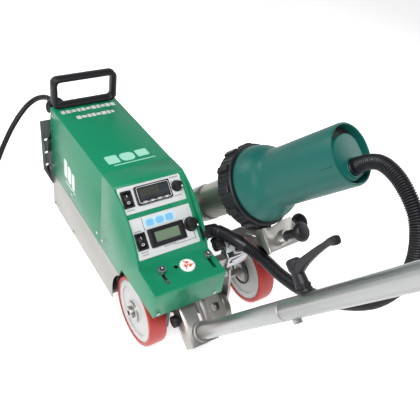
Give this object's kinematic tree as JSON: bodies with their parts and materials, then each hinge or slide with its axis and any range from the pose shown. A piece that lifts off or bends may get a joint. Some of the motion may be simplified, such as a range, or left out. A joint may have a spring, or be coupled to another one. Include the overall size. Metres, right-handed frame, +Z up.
{
  "type": "hot-air membrane seam roller",
  "caption": "Walk-behind powered seam roller for roofing membrane: driven wheels, hot-air blower with a flat nozzle, sloping console and a guide bar.",
  "frame": {"origin": "on the floor under the middle of the machine's bounding box, cable left out", "axes": "+X to the operator's right (blower side), +Y forward in the direction of travel, +Z up"},
  "size_m": [0.6595, 1.2028, 0.9974],
  "materials": {
    "chassis_steel": "satin",
    "stainless": "brushed",
    "green_paint": "gloss powder coat",
    "plate_white": "satin",
    "black_plastic": "fine texture",
    "key_rubber": "matte",
    "dark_glass": "smoked",
    "white_plastic": "gloss",
    "board_green": "satin",
    "steel": "ground",
    "bright_steel": "polished",
    "hub_grey": "satin",
    "red_tyre": "satin polyurethane",
    "aluminium": "brushed",
    "teal_plastic": "satin",
    "ceramic": "rough",
    "black_rubber": "matte",
    "grip_rubber": "ribbed",
    "bearing_steel": "ground"
  },
  "bodies": {
    "chassis": {"chassis_frame": "chassis_steel", "lower_skirt": "stainless", "rear_housing": "green_paint", "front_cover": "green_paint", "upper_console_plate": "plate_white", "lower_console_plate": "plate_white", "temperature_controller": "black_plastic", "controller_keys": "key_rubber", "speed_display": "black_plastic", "display_windows": "dark_glass", "switch_frames": "black_plastic", "carrying_handle": "black_plastic", "end_bracket": "chassis_steel", "cable_gland": "black_plastic", "housing_screws": "steel", "deck_badge": "white_plastic", "drive_board": "board_green", "axle_bearings": "bearing_steel", "drive_motor": "chassis_steel", "drive_chain": "steel", "cross_pins": "steel", "roller_arm": "stainless", "hose_gland": "black_plastic", "hose_lower": "black_rubber", "mains_cable": "black_rubber", "cable_coil": "black_rubber", "mains_plug": "black_plastic"},
    "upper_rocker": {"blower_switch": "black_plastic"},
    "lower_rocker": {"drive_switch": "black_plastic"},
    "temperature_dial": {"temperature_knob": "black_plastic"},
    "speed_dial": {"speed_knob": "black_plastic"},
    "left_screw": {"left_thumb_screw": "steel"},
    "right_screw": {"right_thumb_screw": "steel"},
    "drive_axle": {"wheel_axle": "steel", "wheel_hubs": "hub_grey", "tyres": "red_tyre", "axle_sprocket": "steel"},
    "motor_shaft": {"motor_sprocket": "steel"},
    "front_pair": {"front_rollers": "black_rubber"},
    "seam_wheel": {"steel_roller": "bright_steel"},
    "carriage": {"slide_rail": "steel", "saddle_clamp": "bright_steel"},
    "rail_screw": {"saddle_knob": "black_plastic"},
    "blower": {"blower_bracket": "stainless", "heating_tube": "stainless", "heating_element": "ceramic", "blower_collar": "black_plastic", "blower_shell": "teal_plastic", "blower_motor": "aluminium", "nozzle": "stainless", "hose_upper": "black_rubber"},
    "fan": {"fan_impeller": "aluminium"},
    "tilt_pin": {"tilt_plunger": "black_plastic"},
    "side_pin": {"side_plunger": "black_plastic"},
    "guide_bar": {"guide_bracket": "stainless", "lower_guide_tube": "aluminium"},
    "bracket_screw": {"bracket_knob": "black_plastic"},
    "guide_top": {"upper_guide_tube": "aluminium", "handle_grips": "grip_rubber"},
    "lever": {"clamp_lever": "black_plastic"}
  },
  "joints": [
    {"name": "wheel_turn", "type": "hinge", "parent": "chassis", "child": "drive_axle", "pos_m": [-0.071, 0.15111, 0.071], "axis": [1, 0, 0], "continuous": true},
    {"name": "motor_turn", "type": "hinge", "parent": "chassis", "child": "motor_shaft", "pos_m": [-0.033, 0.24351, 0.1], "axis": [1, 0, 0], "continuous": true},
    {"name": "front_roll", "type": "hinge", "parent": "chassis", "child": "front_pair", "pos_m": [-0.071, 0.46751, 0.03], "axis": [1, 0, 0], "continuous": true},
    {"name": "seam_roll", "type": "hinge", "parent": "chassis", "child": "seam_wheel", "pos_m": [0.037, 0.11351, 0.038], "axis": [1, 0, 0], "continuous": true},
    {"name": "blower_switch_rock", "type": "hinge", "parent": "chassis", "child": "upper_rocker", "pos_m": [-0.123, 0.22193, 0.28682], "axis": [1, 0, 0], "range_deg": [-8, 8]},
    {"name": "drive_switch_rock", "type": "hinge", "parent": "chassis", "child": "lower_rocker", "pos_m": [-0.121, 0.16541, 0.23601], "axis": [1, 0, 0], "range_deg": [-8, 8]},
    {"name": "temperature_turn", "type": "hinge", "parent": "chassis", "child": "temperature_dial", "pos_m": [-0.025, 0.21732, 0.29344], "axis": [0, -0.6686, 0.7436], "range_deg": [-135, 135]},
    {"name": "speed_turn", "type": "hinge", "parent": "chassis", "child": "speed_dial", "pos_m": [-0.021, 0.16304, 0.24463], "axis": [0, -0.6686, 0.7436], "range_deg": [-135, 135]},
    {"name": "left_screw_turn", "type": "hinge", "parent": "chassis", "child": "left_screw", "pos_m": [-0.107, 0.10851, 0.208], "axis": [0, 0, 1], "range_deg": [-180, 180]},
    {"name": "right_screw_turn", "type": "hinge", "parent": "chassis", "child": "right_screw", "pos_m": [-0.014, 0.10751, 0.208], "axis": [0, 0, 1], "range_deg": [-180, 180]},
    {"name": "blower_slide", "type": "slide", "parent": "chassis", "child": "carriage", "axis": [1, 0, 0], "range_m": [0, 0.06], "deforming": ["hose_lower"]},
    {"name": "blower_tilt", "type": "hinge", "parent": "carriage", "child": "blower", "pos_m": [0.056, 0.12751, 0.206], "axis": [1, 0, 0], "range_deg": [-38, 0], "deforming": ["hose_upper"]},
    {"name": "rail_screw_turn", "type": "hinge", "parent": "carriage", "child": "rail_screw", "pos_m": [0.025, 0.12951, 0.203], "axis": [1, 0, 0], "range_deg": [-170, 170]},
    {"name": "fan_turn", "type": "hinge", "parent": "blower", "child": "fan", "pos_m": [0.0775, 0.11081, 0.3457], "axis": [0.2047, -0.6612, 0.7218], "continuous": true},
    {"name": "tilt_pin_pull", "type": "slide", "parent": "blower", "child": "tilt_pin", "axis": [0.2047, -0.6612, 0.7218], "range_m": [0, 0.006]},
    {"name": "side_pin_pull", "type": "slide", "parent": "blower", "child": "side_pin", "axis": [0.9788, 0.1382, -0.151], "range_m": [0, 0.006]},
    {"name": "guide_tilt", "type": "hinge", "parent": "chassis", "child": "guide_bar", "pos_m": [-0.055, 0.09323, 0.12616], "axis": [1, 0, 0], "range_deg": [-22, 22]},
    {"name": "bracket_screw_turn", "type": "hinge", "parent": "guide_bar", "child": "bracket_screw", "pos_m": [-0.081, 0.07114, 0.10884], "axis": [1, 0, 0], "range_deg": [-170, 170]},
    {"name": "guide_extend", "type": "slide", "parent": "guide_bar", "child": "guide_top", "axis": [0, -0.5592, 0.829], "range_m": [0, 0.06]},
    {"name": "lever_turn", "type": "hinge", "parent": "guide_top", "child": "lever", "pos_m": [-0.055, -0.14402, 0.40278], "axis": [0, 0.829, 0.5592], "range_deg": [-60, 60]}
  ],
  "couplings": [
    {"joint": "motor_turn", "follows": "wheel_turn", "ratio": 2.3333}
  ]
}
